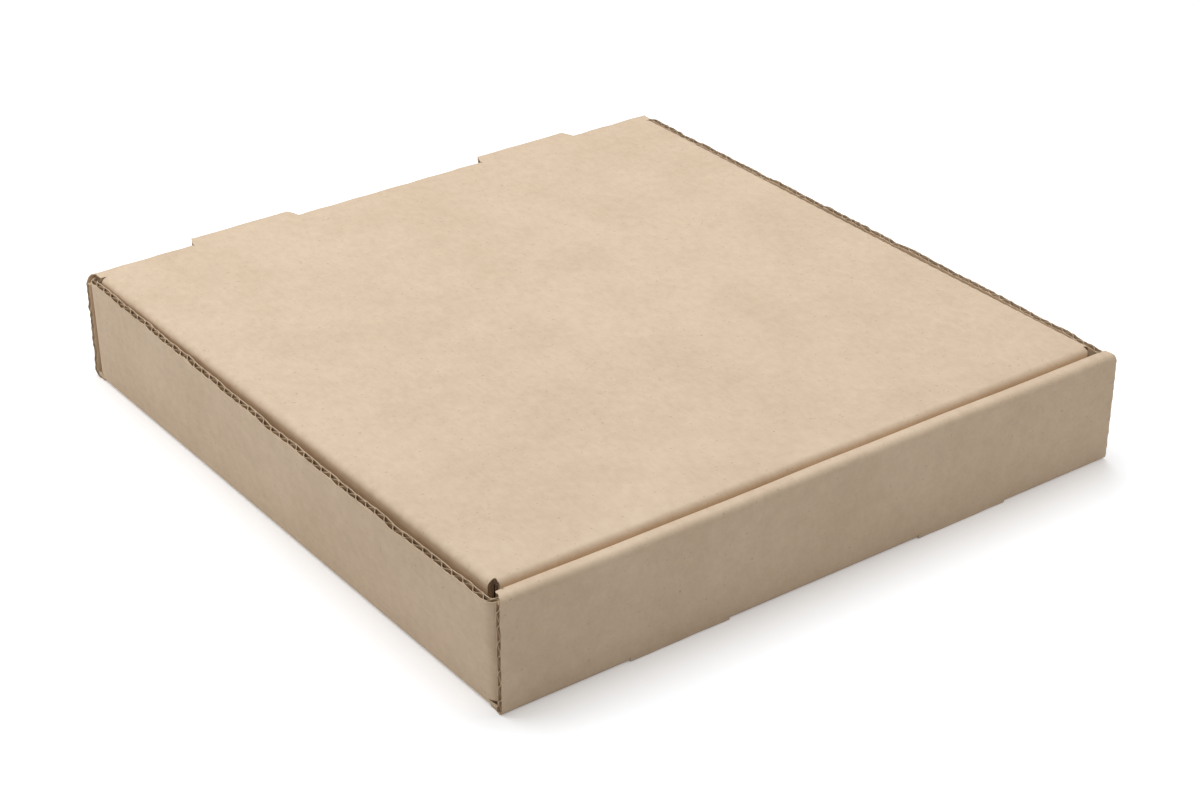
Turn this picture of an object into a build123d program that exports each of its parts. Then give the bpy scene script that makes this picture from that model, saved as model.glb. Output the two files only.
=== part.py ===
"""Pizza box: a tray and its hinged lid, folded from one die-cut blank of corrugated board.

X runs across the box, Y from the front wall to the back wall, and Z up. The origin lies on
the ground, under the middle of the outline with the two back tabs.
"""
import os
from math import hypot, radians, tan

from build123d import *

# Overall sizes, in millimetres.
box_width = 314.0    # between the raw ends of the front and back walls
box_depth = 325.0    # from the front face to the back face
box_height = 51.0    # from the ground to the top of the lid

# The board, and the room between its folded layers.
board = 3.0            # thickness of the corrugated board
layer_gap = 0.3        # between two layers of the tray that lie side by side
lid_clearance = 0.4    # between the lid and what it lies against or swings past

# Outer radii of the creases.
base_crease = 2.0      # along the four edges of the base
corner_crease = 5.0    # upright, where a side wall turns into its corner flaps
brow_crease = 2.5      # front wall to the strip on top of it
strip_crease = 0.8     # the strip to the inner front panel
lid_crease = 3.0       # lid panel to its front and side flaps

# Front wall: an outer panel, a strip on top, and an inner panel that locks into the base.
strip_width = 6.0      # the strip, front face to back edge
strip_taper = 3.0      # each end of the strip slants in by this much
shoulder = 9.0         # height over which the inner panel slopes back over the corner flaps
inner_inset = 6.5      # the inner panel is narrower than the wall by this much at each end
lock_width = 47.0      # each of the two lock tabs under the inner panel
lock_insets = (59.0, 61.0)    # wall end to lock tab, at the left and at the right
lock_fit = 0.5         # between a lock tab and each end of its slot

# Side walls: they lean and bow outwards at the top, and end in corner flaps.
side_lean = 1.4        # how far the top leans out at its two ends
side_bow = 2.0         # how much further it bows out in the middle
front_flap = 55.0      # length of each front corner flap, from its crease
back_flap = 39.0       # length of each back corner flap, from its crease
flap_slant = 5.0       # how far the free end of a corner flap slants back towards the top
flap_relief = 0.8      # full height kept past the crease, before a front flap steps down

# Lid: a panel with a front tuck flap, two side flaps, and two tabs cut out of the back wall.
tuck_depth = 32.0      # lid top to the lower edge of the tuck flap
tuck_lean = 4.0        # degrees that the tuck flap leans in
side_flap_depth = 36.0     # lid top to the lower edge of a side flap
flap_corner = 9.0      # radius of the free corners of the tuck flap and the side flaps
tab_width = 55.0       # each back tab, at its root
tab_taper = 1.5        # how much narrower the tab gets at each end
tab_reach = 4.0        # how far a tab stands out behind the back face
tab_insets = (53.0, 48.0)     # wall end to tab, at the left and at the right

# Places that follow from these sizes.
half_width = box_width / 2
front_face = -(box_depth + tab_reach) / 2
back_face = front_face + box_depth
wall_front = front_face + board    # inner face of the outer front panel
wall_back = back_face - board      # inner face of the back wall
rim = box_height - board - layer_gap    # top of the side walls and of the back wall
flap_front = wall_front + layer_gap     # front face of the front corner flaps
flap_back = wall_back - layer_gap       # back face of the back corner flaps
panel_front = flap_front + board + layer_gap    # front face of the inner front panel
panel_back = panel_front + board
shoulder_foot = box_height - shoulder   # where the inner panel's slope ends
flap_foot = board + layer_gap           # lower edge of the corner flaps

lid_half = half_width - board - layer_gap    # outer faces of the lid's side flaps
lid_under = box_height - board
lid_turn = box_height - lid_crease            # where the lid's flaps leave their creases
lid_front = panel_back + lid_clearance       # outer face of the tuck flap at its crease
flap_end = flap_back - corner_crease - layer_gap    # back end of the lid's side flaps
hinge_y = back_face - board / 2
hinge_z = box_height - board / 2
tab_tip = back_face + tab_reach
notch_foot = hinge_z - hypot(tab_tip - hinge_y, board / 2) - lid_clearance

tab_centres = (
    -half_width + tab_insets[0] + tab_width / 2,
    half_width - tab_insets[1] - tab_width / 2,
)
lock_centres = (
    -half_width + lock_insets[0] + lock_width / 2,
    half_width - lock_insets[1] - lock_width / 2,
)


def side_wall_outline(lean, bow):
    """Plan of the left side wall with its two corner flaps, at one height."""
    outer = -half_width - lean
    inner = outer + board
    turn = outer + corner_crease
    front_end = turn + front_flap
    back_end = turn + back_flap
    wall_start = flap_front + corner_crease
    wall_end = flap_back - corner_crease
    third = (wall_end - wall_start) / 3
    pull = bow * 4 / 3    # a cubic's middle stands at three quarters of its handles
    inner_radius = corner_crease - board
    with BuildSketch() as outline:
        with BuildLine():
            Line((front_end, flap_front), (turn, flap_front))
            RadiusArc((turn, flap_front), (outer, wall_start), corner_crease)
            Bezier(
                (outer, wall_start),
                (outer - pull, wall_start + third),
                (outer - pull, wall_end - third),
                (outer, wall_end),
            )
            RadiusArc((outer, wall_end), (turn, flap_back), corner_crease)
            Line((turn, flap_back), (back_end, flap_back))
            Line((back_end, flap_back), (back_end, flap_back - board))
            Line((back_end, flap_back - board), (turn, flap_back - board))
            RadiusArc((turn, flap_back - board), (inner, wall_end), -inner_radius)
            Bezier(
                (inner, wall_end),
                (inner - pull, wall_end - third),
                (inner - pull, wall_start + third),
                (inner, wall_start),
            )
            RadiusArc((inner, wall_start), (turn, flap_front + board), -inner_radius)
            Line((turn, flap_front + board), (front_end, flap_front + board))
            Line((front_end, flap_front + board), (front_end, flap_front))
        make_face()
    return outline.sketch


def crease_section(face, inwards):
    """Section of a base crease: the board's thickness each way, with its outer edge rounded."""
    turn = face + inwards * base_crease
    inner = face + inwards * board
    with BuildSketch() as section:
        with BuildLine():
            Line((face, board), (face, base_crease))
            RadiusArc((face, base_crease), (turn, 0), -inwards * base_crease)
            Polyline((turn, 0), (inner, 0), (inner, board), (face, board))
        make_face()
    return section.sketch


with BuildPart() as tray:
    # Left side wall and its corner flaps, leaning out as they rise.
    with BuildSketch(Plane.XY.offset(board)):
        add(side_wall_outline(0, 0))
    with BuildSketch(Plane.XY.offset(rim)):
        add(side_wall_outline(side_lean, side_bow))
    loft(ruled=True)

    # The corner flaps are cut free of the base, and their free ends slant.
    flaps_start = -half_width + board
    back_free = -half_width + corner_crease + back_flap
    front_free = -half_width + corner_crease + front_flap
    with BuildSketch(Plane.XY.offset(board)):
        with Locations((flaps_start, flap_front), (flaps_start, flap_back - corner_crease)):
            Rectangle(box_width / 2, corner_crease, align=(Align.MIN, Align.MIN))
    extrude(amount=layer_gap, mode=Mode.SUBTRACT)
    for free_end, face in ((front_free, flap_front), (back_free, flap_back)):
        with BuildSketch(Plane.XZ.offset(-face)):
            with BuildLine():
                Polyline(
                    (free_end - flap_slant, rim),
                    (free_end + board, rim),
                    (free_end + board, board),
                    (free_end, board),
                    close=True,
                )
            make_face()
        extrude(amount=board, both=True, mode=Mode.SUBTRACT)

    # A front corner flap steps down, to lie under the slope of the inner panel.
    relief_start = -half_width + corner_crease + flap_relief
    with BuildSketch(Plane.XZ.offset(-flap_front)):
        with Locations((relief_start, shoulder_foot)):
            Rectangle(half_width, shoulder, align=(Align.MIN, Align.MIN))
    extrude(amount=-board, mode=Mode.SUBTRACT)

    # Crease between the base and the side wall.
    with BuildSketch(Plane.XZ.offset(-flap_front)):
        add(crease_section(-half_width, 1))
    extrude(amount=flap_front - flap_back)
    mirror(about=Plane.YZ)

    # Base panel, between the creases.
    with BuildSketch():
        with Locations((0, (wall_front + wall_back) / 2)):
            Rectangle(box_width - 2 * board, wall_back - wall_front)
    extrude(amount=board)

    # Outer front panel, with the strip on top of it.
    with BuildSketch(Plane.YZ):
        add(crease_section(front_face, 1))
        with BuildLine():
            Line((front_face, board), (front_face, box_height - brow_crease))
            RadiusArc(
                (front_face, box_height - brow_crease),
                (front_face + brow_crease, box_height),
                brow_crease,
            )
            Line(
                (front_face + brow_crease, box_height),
                (front_face + strip_width - strip_crease, box_height),
            )
            RadiusArc(
                (front_face + strip_width - strip_crease, box_height),
                (front_face + strip_width, box_height - strip_crease),
                strip_crease,
            )
            Polyline(
                (front_face + strip_width, box_height - strip_crease),
                (front_face + strip_width, lid_under),
                (wall_front, lid_under),
                (wall_front, board),
                (front_face, board),
            )
        make_face()
    extrude(amount=half_width, both=True)
    with BuildSketch(Plane.XY.offset(lid_under)):
        for side in (-1, 1):
            with BuildLine():
                Polyline(
                    (side * half_width, front_face + brow_crease),
                    (side * half_width, front_face + strip_width),
                    (side * (half_width - strip_taper), front_face + strip_width),
                    close=True,
                )
            make_face()
    extrude(amount=board, mode=Mode.SUBTRACT)

    # Inner front panel: it slopes back from the strip, then hangs straight down.
    with BuildSketch(Plane.YZ):
        with BuildLine():
            Polyline(
                (front_face + strip_width, box_height - strip_crease),
                (panel_back, shoulder_foot),
                (panel_back, flap_foot),
                (panel_front, flap_foot),
                (panel_front, shoulder_foot),
                (front_face + strip_width - board, box_height - strip_crease),
                close=True,
            )
        make_face()
    extrude(amount=half_width - inner_inset, both=True)

    # Two slots reach from the front crease into the base, and hold the lock tabs.
    slot_length = panel_back + layer_gap - wall_front
    slot_width = lock_width + 2 * lock_fit
    with BuildSketch():
        for centre in lock_centres:
            with Locations((centre, wall_front + slot_length / 2)):
                Rectangle(slot_width, slot_length)
    extrude(amount=board, mode=Mode.SUBTRACT)
    with BuildSketch():
        for centre in lock_centres:
            with Locations((centre, front_face + board / 2)):
                Rectangle(slot_width, board)
    extrude(amount=board)
    with BuildSketch(Plane.XY.offset(layer_gap)):
        for centre in lock_centres:
            with Locations((centre, (panel_front + panel_back) / 2)):
                Rectangle(lock_width, board)
    extrude(amount=flap_foot)

    # Back wall, with a notch where each tab was cut out of it.
    with BuildSketch(Plane.YZ):
        add(crease_section(back_face, -1))
        with Locations((wall_back, board)):
            Rectangle(board, rim - board, align=(Align.MIN, Align.MIN))
    extrude(amount=half_width, both=True)
    with BuildSketch(Plane.XZ.offset(-back_face)):
        for centre in tab_centres:
            with Locations((centre, notch_foot)):
                Rectangle(
                    tab_width + 2 * lid_clearance,
                    box_height - notch_foot,
                    align=(Align.CENTER, Align.MIN),
                )
    extrude(amount=board, mode=Mode.SUBTRACT)


with BuildPart() as lid:
    # Panel, rounded about the hinge line at the back.
    panel_start = lid_front + lid_crease
    with BuildSketch(Plane.YZ):
        with Locations(((panel_start + hinge_y) / 2, hinge_z)):
            Rectangle(hinge_y - panel_start, board)
        with Locations((hinge_y, hinge_z)):
            Circle(board / 2)
    extrude(amount=lid_half - lid_crease, both=True)
    with BuildSketch(Plane.YZ):
        with Locations(((flap_end + hinge_y) / 2, hinge_z)):
            Rectangle(hinge_y - flap_end, board)
        with Locations((hinge_y, hinge_z)):
            Circle(board / 2)
    extrude(amount=lid_half, both=True)

    # Front crease and tuck flap, which leans in so that it swings clear of the front wall.
    tuck_foot = box_height - tuck_depth
    lean_in = (lid_turn - tuck_foot) * tan(radians(tuck_lean))
    with BuildSketch(Plane.YZ):
        with BuildLine():
            Line((panel_start, lid_turn), (panel_start, box_height))
            RadiusArc((panel_start, box_height), (lid_front, lid_turn), -lid_crease)
            Line((lid_front, lid_turn), (panel_start, lid_turn))
        make_face()
        with BuildLine():
            Polyline(
                (lid_front, lid_turn),
                (lid_front + lean_in, tuck_foot),
                (lid_front + lean_in + board, tuck_foot),
                (lid_front + board, lid_turn),
                close=True,
            )
        make_face()
    extrude(amount=lid_half - board - layer_gap, both=True)

    # Side creases and side flaps.
    with BuildSketch(Plane.XZ.offset(-panel_start)):
        for side in (-1, 1):
            flap_face = side * lid_half
            turn = side * (lid_half - lid_crease)
            with BuildLine():
                Line((turn, lid_turn), (turn, box_height))
                RadiusArc((turn, box_height), (flap_face, lid_turn), side * lid_crease)
                Line((flap_face, lid_turn), (turn, lid_turn))
            make_face()
            with Locations((side * (lid_half - board / 2), lid_turn)):
                Rectangle(
                    board,
                    side_flap_depth - lid_crease,
                    align=(Align.CENTER, Align.MAX),
                )
    extrude(amount=panel_start - flap_end)

    # Free corners of the flaps are cut round.
    side_corners = lid.edges().filter_by(Axis.X).group_by(Axis.Z)[0]
    fillet(side_corners, flap_corner)
    tuck_edges = lid.edges().filter_by(Axis.Y).filter_by_position(
        Axis.Z, tuck_foot - layer_gap, tuck_foot + layer_gap
    )
    fillet(tuck_edges, flap_corner)

    # Back tabs, in the plane of the panel.
    with BuildSketch(Plane.XY.offset(lid_under)):
        for centre in tab_centres:
            with BuildLine():
                Polyline(
                    (centre - tab_width / 2, hinge_y),
                    (centre - tab_width / 2 + tab_taper, tab_tip),
                    (centre + tab_width / 2 - tab_taper, tab_tip),
                    (centre + tab_width / 2, hinge_y),
                    close=True,
                )
            make_face()
    extrude(amount=board)


os.makedirs("parts", exist_ok=True)
tray.part.label = "tray"
lid.part.label = "lid"
export_step(tray.part, "parts/tray.step")
export_step(lid.part, "parts/lid.step")
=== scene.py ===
"""Pizza box of corrugated board: how the folded board looks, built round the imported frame.

Lengths are in millimetres in the frame's axes: X along the front wall, Y from the front to the
back, Z up. A mesh turns into metres when it is made.
"""

import math

import bmesh
import bpy
import numpy as np
from mathutils import Euler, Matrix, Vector


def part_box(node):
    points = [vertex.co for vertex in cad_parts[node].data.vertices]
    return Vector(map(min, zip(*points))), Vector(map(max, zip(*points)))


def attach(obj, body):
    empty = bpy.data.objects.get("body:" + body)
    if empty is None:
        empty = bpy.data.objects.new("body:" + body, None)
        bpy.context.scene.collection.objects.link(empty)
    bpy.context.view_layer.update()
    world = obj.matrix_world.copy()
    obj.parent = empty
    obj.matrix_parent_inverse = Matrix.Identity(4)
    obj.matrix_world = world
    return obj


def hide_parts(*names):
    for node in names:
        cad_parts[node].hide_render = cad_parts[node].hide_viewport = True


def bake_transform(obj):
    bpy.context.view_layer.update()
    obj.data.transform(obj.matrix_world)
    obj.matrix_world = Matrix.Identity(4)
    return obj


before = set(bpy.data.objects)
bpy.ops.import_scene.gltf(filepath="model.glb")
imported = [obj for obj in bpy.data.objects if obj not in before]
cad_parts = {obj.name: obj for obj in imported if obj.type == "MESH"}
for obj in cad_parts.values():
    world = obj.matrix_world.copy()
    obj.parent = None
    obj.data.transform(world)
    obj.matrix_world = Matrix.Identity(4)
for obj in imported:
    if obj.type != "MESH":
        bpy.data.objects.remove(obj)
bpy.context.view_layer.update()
tray_low, tray_high = (np.array(corner) * 1000 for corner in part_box("tray"))
lid_low, lid_high = (np.array(corner) * 1000 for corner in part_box("lid"))

# Board.
board = 3.0
liner = 0.36           # each flat paper on the outside of the board
medium = 0.3           # the wavy paper between the two liners
flute = 6.5            # from one wave to the next
flute_step = flute / 8     # step of a mesh along a cut edge that shows the waves
open_depth = 4.0       # how far a mesh goes into an open flute
slit_depth = 1.3       # how far it goes in between the liners at a cut along the flutes
cut_slit = 0.3         # width of a die cut in the blank
layer_gap = 0.3        # between two layers of folded board
ripple = 0.03          # how much the flutes show through a side wall's liner
lid_ripple = 0.02      # the same on the lid
crease_ripple = 0.14   # what a crease across the flutes adds to it

# Places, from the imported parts.
front_face = tray_low[1]
back_face = tray_high[1]
top = tray_high[2]
lid_half = lid_high[0]
half_width = lid_half + board + layer_gap
lid_front = lid_low[1]
tab_tip = lid_high[1]
side_flap_foot = lid_low[2]
tuck_foot = top - 32.0     # the tuck flap is shorter than the side flaps
lid_under = top - board
wall_front = front_face + board
wall_back = back_face - board

# Tray.
base_turn = 2.2        # outer radius of the creases round the base
base_joint = 5.0       # from the side face to where the base and a side wall's board meet
brow_turn = 3.0        # front wall to the strip on top of it
strip_back = front_face + 6.0      # back edge of the strip
strip_turn = 0.6
strip_taper = 3.0
shoulder_foot = top - 9.0          # where the inner panel's slope ends
panel_front = wall_front + board + 2 * layer_gap
panel_back = panel_front + board
panel_inset = 6.5
flap_front = wall_front + layer_gap
flap_back = wall_back - layer_gap
flap_foot = board + layer_gap
corner_turn = 5.0
front_flap = 55.0
back_flap = 39.0
flap_slant = 5.0
flap_relief = 0.8
rim = top - board - layer_gap
lock_places = ((-74.5, 47.0), (72.5, 47.0))    # middle and width of each lock tab
lock_fit = 0.5
slot_back = panel_back + layer_gap
notch_foot = 43.4      # foot of the notches that the back tabs leave in the back wall
crease_foot = 46.5     # where the hinge crease starts on the back wall

# Lid.
lid_turn = 3.0
crease_start = 157.0   # where the hinge crease starts on the lid
tuck_slope = math.tan(math.radians(4))     # how the tuck flap leans in
flap_end = flap_back - corner_turn - layer_gap
flap_round = 9.0
tab_places = ((-76.5, 55.0), (81.5, 55.0))     # middle and width of each back tab
tab_taper = 1.5
tab_room = 0.4
tab_corner = 1.6       # radius of a tab's corners at its tip

endless = 1e9          # wave length of an unevenness that doesn't change that way

# Cut edges and meshes.
waves_fray = 0.12      # how far a cut edge strays, as a typical distance
torn_fray = 0.05       # how far each paper's cut end strays on top of that
joined = 2e-6          # metres; points nearer than this are one point
board_sharp = 42       # degrees; a mesh edge is shaded sharp above this angle
band_sharp = 50


# ---------------------------------------------------------------------------------------------
# Folded board as a mesh
# ---------------------------------------------------------------------------------------------

def unit(vector):
    length = np.linalg.norm(vector, axis=-1, keepdims=True)
    return vector / np.maximum(length, 1e-9)


def arc_ends(before, corner, after, radius):
    """Where an arc of that radius starts and ends at a corner, with its centre and turn."""
    way_in = unit(corner - before)
    way_out = unit(after - corner)
    turn = math.atan2(
        way_in[0] * way_out[1] - way_in[1] * way_out[0],
        float(way_in @ way_out),
    )
    reach = radius * math.tan(abs(turn) / 2)
    start = corner - way_in * reach
    inward = np.array((-way_in[1], way_in[0])) * math.copysign(1, turn)
    return start, corner + way_out * reach, start + inward * radius, turn


def on_arc(start, centre, turn, share):
    angle = turn * share
    spoke = start - centre
    cos, sin = math.cos(angle), math.sin(angle)
    return centre + np.array((spoke[0] * cos - spoke[1] * sin, spoke[0] * sin + spoke[1] * cos))


def folded_section(stops, step, arc_steps=8):
    """Matching points of the two faces of a board folded along parallel creases.

    A stop is (outer point, inner point, outer radius, inner radius). Returns the outer points,
    the inner points, the distance along the board, and the row where each stop starts and ends.
    """
    outer = [np.array(stop[0], float) for stop in stops]
    inner = [np.array(stop[1], float) for stop in stops]
    pairs = [(outer[0], inner[0])]
    marks = [(0, 0)]
    for k in range(1, len(stops)):
        rounded = k < len(stops) - 1 and stops[k][2] > 0
        if rounded:
            arcs = [
                arc_ends(face[k - 1], face[k], face[k + 1], radius)
                for face, radius in ((outer, stops[k][2]), (inner, stops[k][3]))
            ]
            goal = (arcs[0][0], arcs[1][0])
        else:
            goal = (outer[k], inner[k])
        last = pairs[-1]
        length = max(np.linalg.norm(goal[0] - last[0]), np.linalg.norm(goal[1] - last[1]))
        count = max(1, math.ceil(length / step - 1e-6))
        for i in range(1, count + 1):
            share = i / count
            pairs.append(tuple(a + (b - a) * share for a, b in zip(last, goal)))
        start = len(pairs) - 1
        if rounded:
            for i in range(1, arc_steps + 1):
                pairs.append(
                    tuple(on_arc(arc[0], arc[2], arc[3], i / arc_steps) for arc in arcs)
                )
        marks.append((start, len(pairs) - 1))
    outer_line = np.array([pair[0] for pair in pairs])
    inner_line = np.array([pair[1] for pair in pairs])
    middle = (outer_line + inner_line) / 2
    steps = np.linalg.norm(np.diff(middle, axis=0), axis=1)
    return outer_line, inner_line, np.concatenate(([0.0], np.cumsum(steps))), marks


def cut_edge_profile(kind, wave):
    """Shares of the thickness and depths of the points across a cut edge, outer face first."""
    skin = liner / board
    half = medium / board / 2
    if kind == "fluted":
        room = 0.5 - skin - half - 0.012
        centre = 0.5 + room * wave
        shares = (1 - skin, 1 - skin, centre + half, centre + half,
                  centre - half, centre - half, skin, skin)
        depths = (0, open_depth, open_depth, 0, 0, open_depth, open_depth, 0)
    elif kind == "along":
        shares = (1 - skin, 1 - skin, 0.6, 0.54, 0.46, 0.4, skin, skin)
        depths = (0, slit_depth, slit_depth, 0.7 * slit_depth,
                  0.7 * slit_depth, slit_depth, slit_depth, 0)
    else:
        shares = (1 - skin, 1 - skin, 0.54, 0.54, 0.46, 0.46, skin, skin)
        depths = (0,) * 8
    return shares, depths


def new_piece(name, points, faces, sharp, cut_from=None):
    """An object from points in millimetres. Faces from cut_from on are cut edges of the board."""
    mesh = bpy.data.meshes.new(name)
    mesh.from_pydata([tuple(p / 1000) for p in points], [], [tuple(map(int, f)) for f in faces])
    if cut_from is not None:
        cut = np.zeros(len(faces), np.int32)
        cut[cut_from:] = 1
        mesh.polygons.foreach_set("material_index", cut)
    work = bmesh.new()
    work.from_mesh(mesh)
    if cut_from is not None:
        bmesh.ops.remove_doubles(work, verts=work.verts, dist=joined)
    bmesh.ops.recalc_face_normals(work, faces=work.faces)
    work.to_mesh(mesh)
    work.free()
    mesh.polygons.foreach_set("use_smooth", np.ones(len(mesh.polygons), bool))
    mesh.set_sharp_from_angle(angle=math.radians(sharp))
    piece = bpy.data.objects.new(name, mesh)
    bpy.context.scene.collection.objects.link(piece)
    return piece


def board_mesh(name, outer, inner, cells, run, sealed, ragged=waves_fray, seed=1):
    """A closed mesh of board from two matching grids of points.

    The flutes run along a row of the grid, so an edge between two rows at the end of the
    columns is cut across them and shows the waves. cells says which cells of the grid are
    there, run is the distance along the board at each row, and sealed marks the points whose
    edge is pressed shut.
    """
    rows, columns = outer.shape[:2]
    random = np.random.default_rng(seed)
    there = np.zeros((rows + 1, columns + 1), bool)
    there[1:rows, 1:columns] = cells
    # Edges of the board: down a column (across the flutes) and along a row.
    across = there[1:rows, :columns] != there[1:rows, 1:]
    along = there[:rows, 1:columns] != there[1:, 1:columns]
    used = there[:rows, :columns] | there[1:, :columns] | there[:rows, 1:] | there[1:, 1:]

    touch_across = np.zeros((rows, columns), int)
    touch_across[:-1] += across
    touch_across[1:] += across
    touch_along = np.zeros((rows, columns), int)
    touch_along[:, :-1] += along
    touch_along[:, 1:] += along
    is_edge = (touch_across + touch_along) > 0

    outer, inner = outer.copy(), inner.copy()
    middle = (outer + inner) / 2
    outward = np.zeros_like(middle)
    for i, j in np.argwhere(is_edge):
        if touch_across[i, j] and not touch_along[i, j]:
            to_left = there[i, j] or there[i + 1, j]
            outward[i, j] = middle[i, j] - middle[i, j - 1 if to_left else j + 1]
        elif touch_along[i, j] and not touch_across[i, j]:
            above = there[i, j] or there[i, j + 1]
            outward[i, j] = middle[i, j] - middle[i - 1 if above else i + 1, j]
    outward = unit(outward)
    fray = random.normal(0, 1, (rows, columns))
    fray = (fray + np.roll(fray, 1, 0) + np.roll(fray, -1, 0)) / 1.7
    nudge = (fray * ragged * is_edge)[..., None] * outward
    nudge[sealed] = 0
    outer += nudge
    inner += nudge

    points = []
    outer_index = np.full((rows, columns), -1)
    inner_index = np.full((rows, columns), -1)
    for i, j in np.argwhere(used):
        outer_index[i, j] = len(points)
        points.append(outer[i, j])
        inner_index[i, j] = len(points)
        points.append(inner[i, j])
    ladders = {}
    for i, j in np.argwhere(is_edge):
        if sealed[i, j]:
            kind = "shut"
        elif touch_across[i, j] == 2 and not touch_along[i, j]:
            kind = "fluted"
        elif touch_along[i, j] == 2 and not touch_across[i, j]:
            kind = "along"
        else:
            kind = "corner"
        wave = math.sin(2 * math.pi * run[i] / flute)
        shares, depths = cut_edge_profile(kind, wave)
        ladder = [outer_index[i, j]]
        for share, depth in zip(shares, depths):
            ladder.append(len(points))
            at_end = kind in ("fluted", "along") and depth == 0
            torn = random.normal(0, torn_fray) if at_end else 0
            spot = inner[i, j] + (outer[i, j] - inner[i, j]) * share
            points.append(spot - outward[i, j] * (depth + torn))
        ladder.append(inner_index[i, j])
        ladders[i, j] = ladder

    faces = []
    cell_index = np.argwhere(cells)
    for grid in (outer_index, inner_index):
        for i, j in cell_index:
            faces.append((grid[i, j], grid[i, j + 1], grid[i + 1, j + 1], grid[i + 1, j]))
    flat_faces = len(faces)
    edges = [((i, j), (i + 1, j)) for i, j in np.argwhere(across)]
    edges += [((i, j), (i, j + 1)) for i, j in np.argwhere(along)]
    for a, b in edges:
        left, right = ladders[a], ladders[b]
        for k in range(len(left) - 1):
            faces.append((left[k], right[k], right[k + 1], left[k + 1]))

    return new_piece(name, points, faces, board_sharp, cut_from=flat_faces)


def spread(low, high, step, extra=()):
    """Stops from low to high, with the extra ones among them and even steps in between."""
    fixed = sorted({low, high, *[x for x in extra if low < x < high]})
    stops = [fixed[0]]
    for a, b in zip(fixed, fixed[1:]):
        count = max(1, round((b - a) / step))
        stops += [a + (b - a) * i / count for i in range(1, count + 1)]
    return np.array(stops)


def swell(x, y, waves):
    """A gentle unevenness, as a sum of (height, length along x, length along y, phase)."""
    total = np.zeros(np.broadcast(x, y).shape)
    for height, length_x, length_y, phase in waves:
        total += height * np.sin(2 * math.pi * (x / length_x + y / length_y) + phase)
    return total


# ---------------------------------------------------------------------------------------------
# Tray: back wall, base, front wall, strip and inner front panel, in one length of board
# ---------------------------------------------------------------------------------------------

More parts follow.
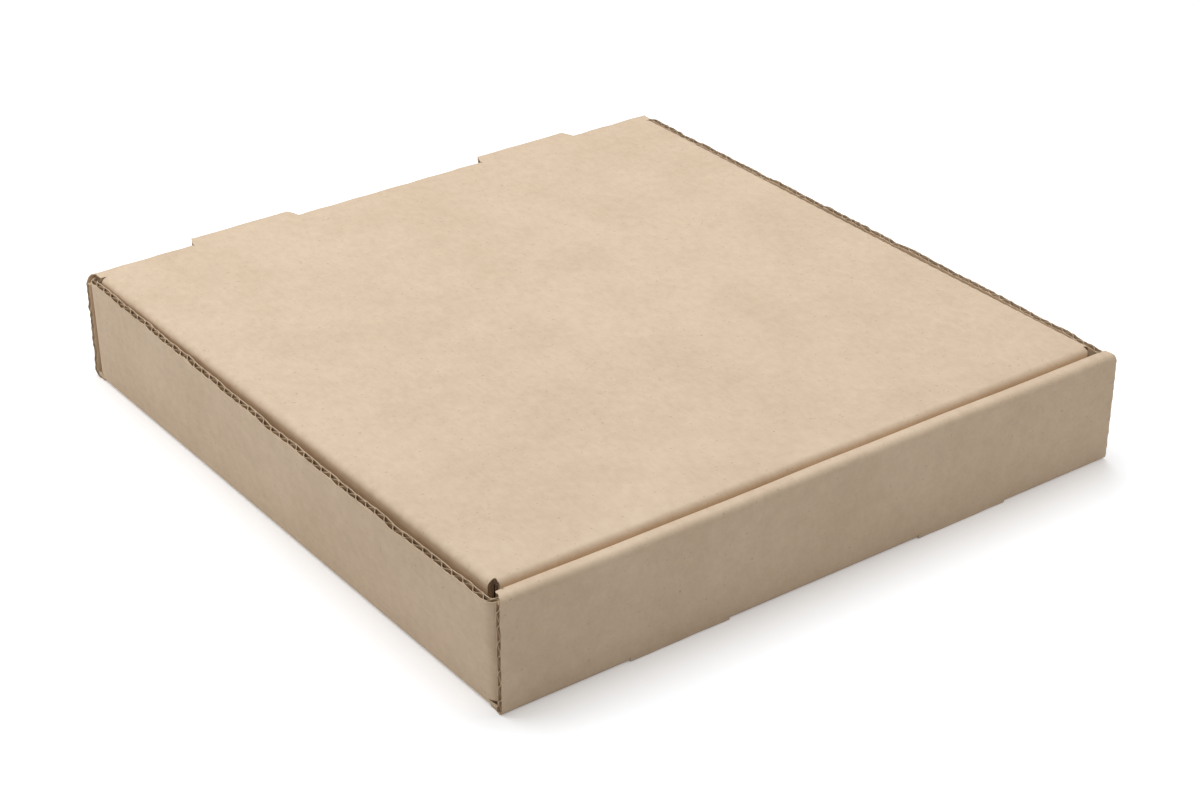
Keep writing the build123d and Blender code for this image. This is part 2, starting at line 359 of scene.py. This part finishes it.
def long_strip():
    slope_start = strip_back - board
    slope_at_under = slope_start + (panel_front - slope_start) * (
        (top - 0.8 - lid_under) / (top - 0.8 - shoulder_foot)
    )
    stops = [
        ((back_face, crease_foot), (wall_back, crease_foot), 0, 0),
        ((back_face, notch_foot), (wall_back, notch_foot), 0, 0),
        ((back_face, 0), (wall_back, board), base_turn + 0.8, 0.4),
        ((wall_back - 1.5, 0), (wall_back - 1.5, board), 0, 0),
        ((slot_back, 0), (slot_back, board), 0, 0),
        ((wall_front + 0.9, 0), (wall_front + 0.9, board), 0, 0),
        ((front_face, 0), (wall_front, board), base_turn, 0.4),
        ((front_face, top), (wall_front, lid_under), brow_turn, 0.3),
        ((strip_back, top), (slope_at_under, lid_under), strip_turn, 0.2),
        ((panel_back, shoulder_foot), (panel_front, shoulder_foot), 2.5, 2.5),
        ((panel_back, flap_foot), (panel_front, flap_foot), 0, 0),
        ((panel_back, layer_gap), (panel_front, layer_gap), 0, 0),
    ]
    outer_line, inner_line, run, marks = folded_section(stops, flute_step)
    (_, notch, _, back_joint, slot_end, front_joint, front_crease, brow,
     strip_crease, _, lock_start, _) = marks
    rows = len(run)
    row = np.arange(rows)

    base_half = half_width - base_joint
    panel_half = half_width - panel_inset
    extra = [0.0]
    for side in (-1, 1):
        for inset in (base_joint, panel_inset, 1.0, 2.5):
            extra.append(side * (half_width - inset))
    slots, notches = [], []
    for centre, width in lock_places:
        low, high = centre - width / 2 - lock_fit, centre + width / 2 + lock_fit
        extra += [low - cut_slit, low, low + lock_fit, high - lock_fit, high, high + cut_slit]
        slots.append((low, high))
    for centre, width in tab_places:
        low, high = centre - width / 2 - tab_room, centre + width / 2 + tab_room
        extra += [low, high]
        notches.append((low, high))
    xs = spread(-half_width, half_width, 8.0, extra)
    mid = (xs[:-1] + xs[1:]) / 2

    outer = np.zeros((rows, len(xs), 3))
    inner = np.zeros((rows, len(xs), 3))
    for grid, line in ((outer, outer_line), (inner, inner_line)):
        grid[..., 0] = xs
        grid[..., 1] = line[:, 0, None]
        grid[..., 2] = line[:, 1, None]

    # The strip gets narrower from the brow to its back edge.
    share = np.clip((row - brow[0]) / (strip_crease[1] - brow[0]), 0, 1)
    share[strip_crease[1] + 1:] = 0
    past = np.clip((abs(xs) - panel_half) / panel_inset, 0, 1)
    shift = -np.sign(xs) * past * strip_taper * share[:, None]
    outer[..., 0] += shift
    inner[..., 0] += shift

    # Below the wall, a slot leaves a straight cut edge in place of the crease.
    wall_start = front_crease[1]
    stub_rows = 4
    stub = np.arange(wall_start - stub_rows, wall_start)
    for low, high in slots:
        inside = (xs >= low - 1e-6) & (xs <= high + 1e-6)
        for k in stub:
            drop = (base_turn - 0.35) * (wall_start - k) / stub_rows
            outer[k, inside, 1] = front_face
            outer[k, inside, 2] = base_turn - drop
            inner[k, inside, 1] = wall_front
            inner[k, inside, 2] = outer_line[wall_start, 1] - drop

    # Gentle unevenness of the walls and the strip.
    wall = (row > front_crease[1]) & (row <= strip_crease[1])
    rise = np.clip((outer_line[:, 1] - 4) / 20, 0, 1) * wall
    sway = swell(xs[None, :], 0.0, ((0.22, 210.0, endless, 0.6), (0.1, 71.0, endless, 2.0)))
    fall_off = np.clip((half_width - abs(xs)) / 30, 0, 1)
    near_top = np.clip((outer_line[:, 1] - 30) / 20, 0, 1) * wall
    for grid in (outer, inner):
        grid[..., 1] += rise[:, None] * sway * 0.7
        grid[..., 2] += near_top[:, None] * sway * 0.3 * fall_off

    cells = np.zeros((rows - 1, len(xs) - 1), bool)
    gap = row[:-1]
    every = np.ones(len(mid), bool)
    in_base = abs(mid) < base_half
    in_panel = abs(mid) < panel_half
    cells[gap < back_joint[0]] = every
    cells[(gap >= back_joint[0]) & (gap < front_joint[0])] = in_base
    cells[(gap >= front_joint[0]) & (gap < strip_crease[1])] = every
    cells[(gap >= strip_crease[1]) & (gap < lock_start[0])] = in_panel
    for low, high in notches:
        inside = (mid > low) & (mid < high)
        cells[np.ix_(gap < notch[0], inside)] = False
    for low, high in slots:
        inside = (mid > low - cut_slit) & (mid < high + cut_slit)
        cells[np.ix_((gap >= slot_end[0]) & (gap < wall_start), inside)] = False
        inside = (mid > low) & (mid < high)
        cells[np.ix_((gap >= stub[0]) & (gap < wall_start), inside)] = True
        inside = (mid > low + lock_fit) & (mid < high - lock_fit)
        cells[np.ix_(gap >= lock_start[0], inside)] = True

    sealed = np.zeros((rows, len(xs)), bool)
    sealed[(row >= back_joint[0]) & (row <= front_joint[0])] = abs(xs) >= base_half - 0.01
    sealed[0] = True
    return board_mesh("tray_long_strip", outer, inner, cells, run, sealed, seed=11)


# ---------------------------------------------------------------------------------------------
# Tray: a side wall with its two corner flaps
# ---------------------------------------------------------------------------------------------

def side_board(name, side, lean_front, lean_back, bow, rim_front, rim_back, seed):
    wall = -half_width
    inside = wall + board
    plan_stops = [
        ((wall + corner_turn + front_flap, flap_front),
         (wall + corner_turn + front_flap, flap_front + board), 0, 0),
        ((wall + corner_turn + flap_relief, flap_front),
         (wall + corner_turn + flap_relief, flap_front + board), 0, 0),
        ((wall, flap_front), (inside, flap_front + board), corner_turn, corner_turn - board),
        ((wall, flap_back), (inside, flap_back - board), corner_turn, corner_turn - board),
        ((wall + corner_turn + back_flap, flap_back),
         (wall + corner_turn + back_flap, flap_back - board), 0, 0),
    ]
    outer_plan, inner_plan, run, marks = folded_section(plan_stops, flute_step, 10)
    _, relief, front_corner, back_corner, _ = marks
    section_stops = [
        ((wall + base_joint, 0), (wall + base_joint, board), 0, 0),
        ((wall, 0), (inside, board), base_turn, 0.3),
        ((wall, board), (inside, board + 0.32), 0, 0),
        ((wall, flap_foot + layer_gap), (inside, flap_foot + layer_gap), 0, 0),
        ((wall, shoulder_foot), (inside, shoulder_foot), 0, 0),
        ((wall, rim), (inside, rim), 0, 0),
    ]
    outer_up, inner_up, _, heights = folded_section(section_stops, 5.0)
    _, _, crease_top, flap_start, step_down, _ = heights
    rows, columns = len(run), len(outer_up)
    row = np.arange(rows)
    column = np.arange(columns)

    past_front = row < front_corner[1]
    past_back = row > back_corner[0]
    low_part = column <= crease_top[0]
    length = flap_back - flap_front - 2 * corner_turn
    grids = []
    for plan, up, face in ((outer_plan, outer_up, wall), (inner_plan, inner_up, inside)):
        grid = np.zeros((rows, columns, 3))
        grid[..., 0] = plan[:, 0, None] + (up[:, 0] - face)
        grid[..., 1] = plan[:, 1, None]
        grid[..., 2] = up[:, 1]
        # Past the wall's ends the base crease runs straight on, under the turned flaps.
        run_on = np.clip((front_corner[1] - row) / (front_corner[1] - front_corner[0]), 0, 1)
        front_y = plan[front_corner[1], 1] - run_on * (corner_turn - 0.2)
        run_on = np.clip((row - back_corner[0]) / (back_corner[1] - back_corner[0]), 0, 1)
        back_y = plan[back_corner[0], 1] + run_on * (corner_turn - 0.2)
        for past, y in ((past_front, front_y), (past_back, back_y)):
            spots = np.ix_(past, low_part)
            grid[..., 1][spots] = np.broadcast_to(y[past][:, None], (past.sum(), low_part.sum()))
            grid[..., 0][spots] = np.broadcast_to(up[low_part, 0], (past.sum(), low_part.sum()))
        # The free ends of the corner flaps slant back towards the top.
        height = np.clip((up[:, 1] - board) / (rim - board), 0, 1)
        for past, reach in ((row < front_corner[0], front_flap), (row > back_corner[1], back_flap)):
            out = np.clip((plan[:, 0] - wall - corner_turn) / reach, 0, 1) * past
            grid[..., 0] -= out[:, None] * flap_slant * height
        # Lean and bow of the wall, and the height of its rim.
        y = grid[..., 1]
        along = np.clip((y - flap_front - corner_turn) / length, 0, 1)
        lean = lean_front + (lean_back - lean_front) * along
        lean = lean + bow * np.sin(math.pi * along ** 0.65) ** 1.5
        grid[..., 0] -= lean * grid[..., 2] / rim
        lift = rim_front + (rim_back - rim_front) * along - rim
        on_wall = np.clip((wall + corner_turn + 2.0 - plan[:, 0]) / 4.0, 0, 1)[:, None]
        upper = np.clip((grid[..., 2] - 10) / (rim - 10), 0, 1)
        uneven = swell(0.0, y, ((0.16, endless, 47.0, seed), (0.1, endless, 19.0, seed * 2)))
        grid[..., 2] += (lift + uneven) * upper * on_wall
        wander = swell(0.0, y, ((0.18, endless, 31.0, seed), (0.08, endless, 13.0, 1.0)))
        grid[..., 0] += wander * upper ** 3 * on_wall
        # The flutes show through the liners a little.
        if plan is outer_plan:
            waves = np.cos(2 * math.pi * run / flute)[:, None]
            grid[..., 0] += ripple * waves * upper
        grids.append(grid)

    cells = np.zeros((rows - 1, columns - 1), bool)
    i, j = row[:-1, None], column[None, :-1]
    wall_rows = (i >= front_corner[1]) & (i < back_corner[0])
    crease_rows = (i >= front_corner[0]) & (i < back_corner[1])
    flap_columns = j >= flap_start[0]
    cells |= wall_rows
    cells |= crease_rows & (j < crease_top[0])
    cells |= flap_columns
    cells &= ~((i < relief[0]) & (j >= step_down[0]))
    sealed = np.zeros((rows, columns), bool)
    sealed[:, 0] = True
    for grid in grids:
        grid[..., 0] *= -side
    return board_mesh(name, grids[0], grids[1], cells, run, sealed, ragged=0.14, seed=seed)


# ---------------------------------------------------------------------------------------------
# Lid
# ---------------------------------------------------------------------------------------------

def lid_board():
    tuck_half = lid_half - lid_turn - 0.5
    inner_half = lid_half - board
    turn_at = lid_half - lid_turn
    flap_ease = [0.4, 1.2, 2.5, 4.5, 6.5, flap_round]
    extra = [0.0]
    for side in (-1, 1):
        extra += [side * (tuck_half - ease) for ease in flap_ease]
    for centre, width in tab_places:
        for edge in (-1, 1):
            spot = centre + edge * width / 2
            extra += [spot - edge * ease for ease in (-tab_room, 0, 0.5, 1.2, 2.5)]
    panel_xs = spread(-tuck_half, tuck_half, 8.0, extra)
    cross_stops = [((-lid_half, side_flap_foot), (-inner_half, side_flap_foot), 0, 0)]
    cross_stops.append(((-lid_half, top), (-inner_half, lid_under), lid_turn, 0.4))
    cross_stops += [((x, top), (x, lid_under), 0, 0) for x in panel_xs]
    cross_stops.append(((lid_half, top), (inner_half, lid_under), lid_turn, 0.4))
    cross_stops.append(((lid_half, side_flap_foot), (inner_half, side_flap_foot), 0, 0))
    outer_cross, inner_cross, _, marks = folded_section(cross_stops, 9.0, 10)
    left_turn, right_turn = marks[1], marks[-2]
    tuck_left, tuck_right = marks[2][0], marks[-3][0]

    lean = (top - lid_turn - tuck_foot) * tuck_slope
    long_stops = [
        ((lid_front + lean, tuck_foot), (lid_front + lean + board, tuck_foot), 0, 0),
        ((lid_front - 0.1, top), (lid_front + board, lid_under), lid_turn, 0.4),
        ((flap_end, top), (flap_end, lid_under), 0, 0),
        ((flap_end + cut_slit, top), (flap_end + cut_slit, lid_under), 0, 0),
        ((crease_start, top), (crease_start, lid_under), 0, 0),
        ((tab_tip, top), (tab_tip, lid_under), 0, 0),
    ]
    outer_long, inner_long, run, marks = folded_section(long_stops, flute_step)
    _, front_turn, flap_stop, slit_stop, hinge_row, _ = marks
    rows, columns = len(run), len(outer_cross)
    row, column = np.arange(rows), np.arange(columns)

    grids = []
    faces = ((outer_cross, outer_long, top), (inner_cross, inner_long, lid_under))
    for cross, along, level in faces:
        grid = np.zeros((rows, columns, 3))
        grid[..., 0] = cross[:, 0]
        grid[..., 1] = along[:, 0, None]
        grid[..., 2] = cross[:, 1] + along[:, 1, None] - level

        # Behind the side flaps the board stays flat out to its cut edge.
        flat = row >= slit_stop[0]
        for turn_marks, side in ((left_turn, -1), (right_turn, 1)):
            span = np.arange(turn_marks[0], turn_marks[1] + 1)
            share = np.linspace(1, 0, len(span)) if side < 0 else np.linspace(0, 1, len(span))
            start = cross[span[-1 if side < 0 else 0], 0]
            spots = np.ix_(flat, span)
            goal = start + (side * lid_half - start) * share
            grid[..., 0][spots] = goal
            grid[..., 2][spots] = along[flat, 1][:, None]

        # Rounded free corners of the tuck flap and of the side flaps.
        edge = np.clip(flap_round - (tuck_half - abs(cross[:, 0])), 0, flap_round)
        drop = flap_round - np.sqrt(flap_round ** 2 - edge ** 2)
        tuck_length = top - lid_turn - tuck_foot
        down = np.clip((top - lid_turn - along[:, 1]) / tuck_length, 0, 1)
        lift = down[:, None] * drop
        grid[..., 2] += lift
        grid[..., 1] -= lift * tuck_slope
        ys = along[:, 0]
        near = np.minimum(ys - ys[front_turn[1]], flap_end - ys)
        edge = np.clip(flap_round - np.maximum(near, 0), 0, flap_round)
        drop = flap_round - np.sqrt(flap_round ** 2 - edge ** 2)
        flap_length = top - lid_turn - side_flap_foot
        down = np.clip((top - lid_turn - cross[:, 1]) / flap_length, 0, 1)
        on_flap = (row >= front_turn[1]) & (row <= flap_stop[0])
        grid[..., 2] += (drop * on_flap)[:, None] * down

        # Tabs: narrower at the tip, with slightly rounded corners.
        out = np.clip((ys - back_face + 1.5) / (tab_tip - back_face + 1.5), 0, 1)
        for centre, width in tab_places:
            on_tab = abs(cross[:, 0] - centre) <= width / 2 + 0.01
            squeeze = (cross[:, 0] - centre) / (width / 2) * tab_taper
            grid[..., 0] -= (out[:, None] * squeeze) * on_tab
            inset = width / 2 - abs(cross[:, 0] - centre)
            edge = np.clip(tab_corner - inset, 0, tab_corner)
            back = tab_corner - np.sqrt(tab_corner ** 2 - edge ** 2)
            grid[..., 1] -= out[:, None] * back * on_tab

        # The panel isn't quite flat, and neither are its creases.
        x, y = grid[..., 0], grid[..., 1]
        inside = np.clip((lid_half - abs(x)) / 40, 0, 1) * np.clip((155 - abs(y)) / 40, 0, 1)
        uneven = swell(x, y, ((0.25, 260.0, 340.0, 0.4), (0.12, 95.0, -140.0, 1.7)))
        grid[..., 2] += (uneven - 0.3) * inside
        grids.append(grid)

    # The flutes show through the outer liner, most of all where a crease runs across them.
    outer = grids[0]
    near_side = np.exp(-((abs(outer_cross[:, 0]) - turn_at) / 2.2) ** 2)
    waves = np.cos(2 * math.pi * run / flute)[:, None]
    bump = waves * (lid_ripple + crease_ripple * near_side)
    on_top = outer_cross[:, 1] > top - lid_turn
    outer[..., 2] += bump * (row > front_turn[1])[:, None] * on_top

    cells = np.zeros((rows - 1, columns - 1), bool)
    i, j = row[:-1, None], column[None, :-1]
    in_turn = (j >= left_turn[0]) & (j < right_turn[1])
    in_panel = (j >= left_turn[1]) & (j < right_turn[0])
    in_tuck = (j >= tuck_left) & (j < tuck_right)
    cells |= (i >= front_turn[1]) & (i < flap_stop[0])
    cells |= (i >= flap_stop[0]) & (i < slit_stop[0]) & in_panel
    cells |= (i >= slit_stop[0]) & (i < hinge_row[0]) & in_turn
    cells |= (i < front_turn[1]) & in_tuck
    mid = (outer_cross[:-1, 0] + outer_cross[1:, 0]) / 2
    for centre, width in tab_places:
        cells |= (i >= hinge_row[0]) & (abs(mid - centre) < width / 2)
    sealed = np.zeros((rows, columns), bool)
    beside_tabs = np.ones(columns, bool)
    for centre, width in tab_places:
        beside_tabs &= abs(outer_cross[:, 0] - centre) > width / 2 + 0.01
    sealed[hinge_row[0]] = beside_tabs
    return board_mesh("lid_board", grids[0], grids[1], cells, run, sealed, seed=23)


# ---------------------------------------------------------------------------------------------
# Hinge crease: the two liners that join the back wall to the lid between the tabs
# ---------------------------------------------------------------------------------------------

def liner_band(name, stops, wall_ends, seed):
    """A band of liner that bends over the hinge, in the lengths between the tabs."""
    outer_line, inner_line, run, _ = folded_section(stops, 0.5, 12)
    rows = len(run)
    breaks = [-wall_ends]
    for centre, width in tab_places:
        breaks += [centre - width / 2 - tab_room, centre + width / 2 + tab_room]
    breaks.append(wall_ends)
    points, faces = [], []
    for low, high in zip(breaks[::2], breaks[1::2]):
        xs = spread(low, high, 6.0)
        start = len(points)
        ends = np.zeros(len(xs))
        ends[0] = 1 if low == -wall_ends else 0
        ends[-1] = -1 if high == wall_ends else 0
        share = np.linspace(0, 1, rows)
        for k in range(rows):
            draw_in = (wall_ends - lid_half) * share[k]
            for x, end in zip(xs, ends):
                wobble = 0.12 * math.sin(x * 0.31 + seed) * math.sin(math.pi * share[k])
                for line in (outer_line, inner_line):
                    y, z = line[k]
                    points.append((x + end * draw_in, y + wobble, z + wobble))
        wide = len(xs)
        grid = start + np.arange(rows * wide * 2).reshape(rows, wide, 2)
        for k in range(rows - 1):
            for m in range(wide - 1):
                for face in (0, 1):
                    faces.append((grid[k, m, face], grid[k, m + 1, face],
                                  grid[k + 1, m + 1, face], grid[k + 1, m, face]))
            for m in (0, wide - 1):
                faces.append((grid[k, m, 0], grid[k + 1, m, 0],
                              grid[k + 1, m, 1], grid[k, m, 1]))
        for k in (0, rows - 1):
            for m in range(wide - 1):
                faces.append((grid[k, m, 0], grid[k, m + 1, 0],
                              grid[k, m + 1, 1], grid[k, m, 1]))
    return new_piece(name, np.array(points), faces, band_sharp)


def outer_band():
    stops = [
        ((back_face, crease_foot), (back_face - liner, crease_foot), 0, 0),
        ((back_face, top), (back_face - liner, top - liner), 3.2, 3.2 - liner),
        ((crease_start, top), (crease_start, top - liner), 0, 0),
    ]
    return liner_band("hinge_outer_liner", stops, half_width, 1)


def inner_band():
    stops = [
        ((wall_back, crease_foot), (wall_back + liner, crease_foot), 0, 0),
        ((wall_back, lid_under), (wall_back + liner, lid_under + liner), 0.25, 0.25 + liner),
        ((crease_start, lid_under), (crease_start, lid_under + liner), 0, 0),
    ]
    return liner_band("hinge_inner_liner", stops, lid_half, 2)


# ---------------------------------------------------------------------------------------------
# Material
# ---------------------------------------------------------------------------------------------

def kraft(name, light, dark, speck, roughness, bump_strength):
    """Brown kraft paper: cloudy pulp, short fibres and sparse dark specks."""
    material = bpy.data.materials.new(name)
    material.use_nodes = True
    nodes, links = material.node_tree.nodes, material.node_tree.links
    shader = nodes["Principled BSDF"]
    shader.inputs["Roughness"].default_value = roughness
    shader.inputs["Specular IOR Level"].default_value = 0.35

    place = nodes.new("ShaderNodeTexCoord")

    def noise_at(scale, detail, rough, stretch=(1, 1, 1)):
        mapping = nodes.new("ShaderNodeMapping")
        mapping.inputs["Scale"].default_value = stretch
        links.new(place.outputs["Object"], mapping.inputs["Vector"])
        texture = nodes.new("ShaderNodeTexNoise")
        texture.inputs["Scale"].default_value = scale
        texture.inputs["Detail"].default_value = detail
        texture.inputs["Roughness"].default_value = rough
        links.new(mapping.outputs["Vector"], texture.inputs["Vector"])
        return texture.outputs["Fac"]

    def ramp(source, low, high, start=0.0, end=1.0):
        node = nodes.new("ShaderNodeMapRange")
        node.inputs["From Min"].default_value = low
        node.inputs["From Max"].default_value = high
        node.inputs["To Min"].default_value = start
        node.inputs["To Max"].default_value = end
        links.new(source, node.inputs["Value"])
        return node.outputs["Result"]

    def mix(factor, a, b):
        node = nodes.new("ShaderNodeMix")
        node.data_type = "RGBA"
        links.new(factor, node.inputs["Factor"])
        for socket, value in ((node.inputs[6], a), (node.inputs[7], b)):
            if isinstance(value, tuple):
                socket.default_value = value
            else:
                links.new(value, socket)
        return node.outputs[2]

    def add(a, b):
        node = nodes.new("ShaderNodeMath")
        node.operation = "ADD"
        links.new(a, node.inputs[0])
        links.new(b, node.inputs[1])
        return node.outputs[0]

    clouds = ramp(noise_at(28, 2, 0.5), 0.35, 0.65, 0.0, 0.35)
    pulp = ramp(noise_at(210, 3, 0.6), 0.3, 0.7, 0.0, 0.4)
    fibres = ramp(noise_at(620, 2, 0.6, (1.0, 0.35, 1.0)), 0.35, 0.7, 0.0, 0.25)
    amount = add(add(clouds, pulp), fibres)
    colour = mix(amount, (*light, 1), (*dark, 1))
    specks = ramp(noise_at(900, 1, 0.4, (0.7, 1.0, 0.8)), 0.70, 0.80, 0.0, 0.5)
    colour = mix(specks, colour, (*speck, 1))
    links.new(colour, shader.inputs["Base Color"])

    bump = nodes.new("ShaderNodeBump")
    bump.inputs["Strength"].default_value = bump_strength
    bump.inputs["Distance"].default_value = 0.0002
    links.new(add(pulp, fibres), bump.inputs["Height"])
    links.new(bump.outputs["Normal"], shader.inputs["Normal"])
    return material


# ---------------------------------------------------------------------------------------------
# The object
# ---------------------------------------------------------------------------------------------

liner_paper = kraft("kraft_liner", (0.74, 0.575, 0.41), (0.62, 0.465, 0.315),
                    (0.36, 0.24, 0.15), 0.62, 0.35)
cut_paper = kraft("kraft_cut", (0.66, 0.50, 0.34), (0.48, 0.345, 0.22),
                  (0.3, 0.2, 0.12), 0.85, 0.6)

strip = long_strip()
left_side = side_board("tray_left_side", -1, 2.4, 0.9, 1.4, 48.0, 49.4, 31)
right_side = side_board("tray_right_side", 1, 1.6, 1.2, 1.8, 48.2, 48.9, 32)
lid = lid_board()
band_out = outer_band()
band_in = inner_band()

for piece in (strip, left_side, right_side, lid, band_out, band_in):
    piece.data.materials.append(liner_paper)
    piece.data.materials.append(cut_paper)
for piece in (strip, left_side, right_side):
    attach(piece, "tray")
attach(lid, "lid")
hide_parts("tray")
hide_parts("lid")


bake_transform(band_out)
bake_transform(band_in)

# ---------------------------------------------------------------------------------------------
# Floor, light and camera
# ---------------------------------------------------------------------------------------------

floor_mesh = bpy.data.meshes.new("floor")
reach = 6.0
floor_mesh.from_pydata(
    [(-reach, -reach, 0), (reach, -reach, 0), (reach, reach, 0), (-reach, reach, 0)],
    [], [(0, 1, 2, 3)],
)
floor = bpy.data.objects.new("floor", floor_mesh)
bpy.context.scene.collection.objects.link(floor)


def floor_material():
    material = bpy.data.materials.new("pale_floor")
    material.use_nodes = True
    nodes, links = material.node_tree.nodes, material.node_tree.links
    nodes.remove(nodes["Principled BSDF"])
    path = nodes.new("ShaderNodeLightPath")
    matt = nodes.new("ShaderNodeBsdfDiffuse")
    matt.inputs["Color"].default_value = (0.72, 0.72, 0.72, 1)
    seen = nodes.new("ShaderNodeBsdfDiffuse")
    seen.inputs["Color"].default_value = (1.0, 1.0, 1.0, 1)
    glow = nodes.new("ShaderNodeEmission")
    glow.inputs["Color"].default_value = (1, 1, 1, 1)
    glow.inputs["Strength"].default_value = 0.25
    both = nodes.new("ShaderNodeAddShader")
    links.new(seen.outputs[0], both.inputs[0])
    links.new(glow.outputs[0], both.inputs[1])
    choose = nodes.new("ShaderNodeMixShader")
    links.new(path.outputs["Is Camera Ray"], choose.inputs[0])
    links.new(matt.outputs[0], choose.inputs[1])
    links.new(both.outputs[0], choose.inputs[2])
    links.new(choose.outputs[0], nodes["Material Output"].inputs["Surface"])
    return material


floor.data.materials.append(floor_material())

world = bpy.data.worlds.new("studio")
world.use_nodes = True
bpy.context.scene.world = world
sky = world.node_tree
path = sky.nodes.new("ShaderNodeLightPath")
ambient = sky.nodes["Background"]
ambient.inputs["Color"].default_value = (1, 1, 1, 1)
ambient.inputs["Strength"].default_value = 0.35
backdrop = sky.nodes.new("ShaderNodeBackground")
backdrop.inputs["Color"].default_value = (1, 1, 1, 1)
backdrop.inputs["Strength"].default_value = 1.0
choose = sky.nodes.new("ShaderNodeMixShader")
sky.links.new(path.outputs["Is Camera Ray"], choose.inputs[0])
sky.links.new(ambient.outputs[0], choose.inputs[1])
sky.links.new(backdrop.outputs[0], choose.inputs[2])
sky.links.new(choose.outputs[0], sky.nodes["World Output"].inputs["Surface"])


def softbox(name, place, aim, width, height, power, colour):
    lamp = bpy.data.lights.new(name, "AREA")
    lamp.shape = "RECTANGLE"
    lamp.size = width
    lamp.size_y = height
    lamp.energy = power
    lamp.color = colour
    holder = bpy.data.objects.new(name, lamp)
    holder.location = place
    holder.rotation_mode = "QUATERNION"
    holder.rotation_quaternion = (Vector(aim) - Vector(place)).to_track_quat("-Z", "Y")
    bpy.context.scene.collection.objects.link(holder)


softbox("overhead", (0.05, 0.45, 1.5), (0, 0.02, 0), 1.6, 1.2, 20, (0.96, 1.0, 1.06))
softbox("right_fill", (1.1, -0.75, 0.45), (0.1, -0.1, 0.03), 0.6, 0.6, 2.5, (1.0, 0.95, 0.88))
softbox("left_fill", (-1.1, 0.7, 0.5), (-0.1, 0.1, 0.03), 0.6, 0.6, 3.0, (1.0, 0.96, 0.9))

camera_data = bpy.data.cameras.new("camera")
camera_data.sensor_width = 36.0
camera_data.lens = 76.14
camera_data.clip_start = 0.05
camera_data.clip_end = 30.0
camera = bpy.data.objects.new("camera", camera_data)
azimuth, elevation, roll = math.radians(-36.62), math.radians(29.14), math.radians(0.18)
distance = 1.1316
aim = Vector((0.01189, 0.00386, 0.0))
back = Vector((
    math.sin(azimuth) * math.cos(elevation),
    -math.cos(azimuth) * math.cos(elevation),
    math.sin(elevation),
))
camera.location = aim + back * distance
turn = (-back).to_track_quat("-Z", "Y")
camera.rotation_mode = "QUATERNION"
camera.rotation_quaternion = turn @ Euler((0, 0, roll)).to_quaternion()
bpy.context.scene.collection.objects.link(camera)
bpy.context.scene.camera = camera

bpy.context.scene.view_settings.view_transform = "Standard"
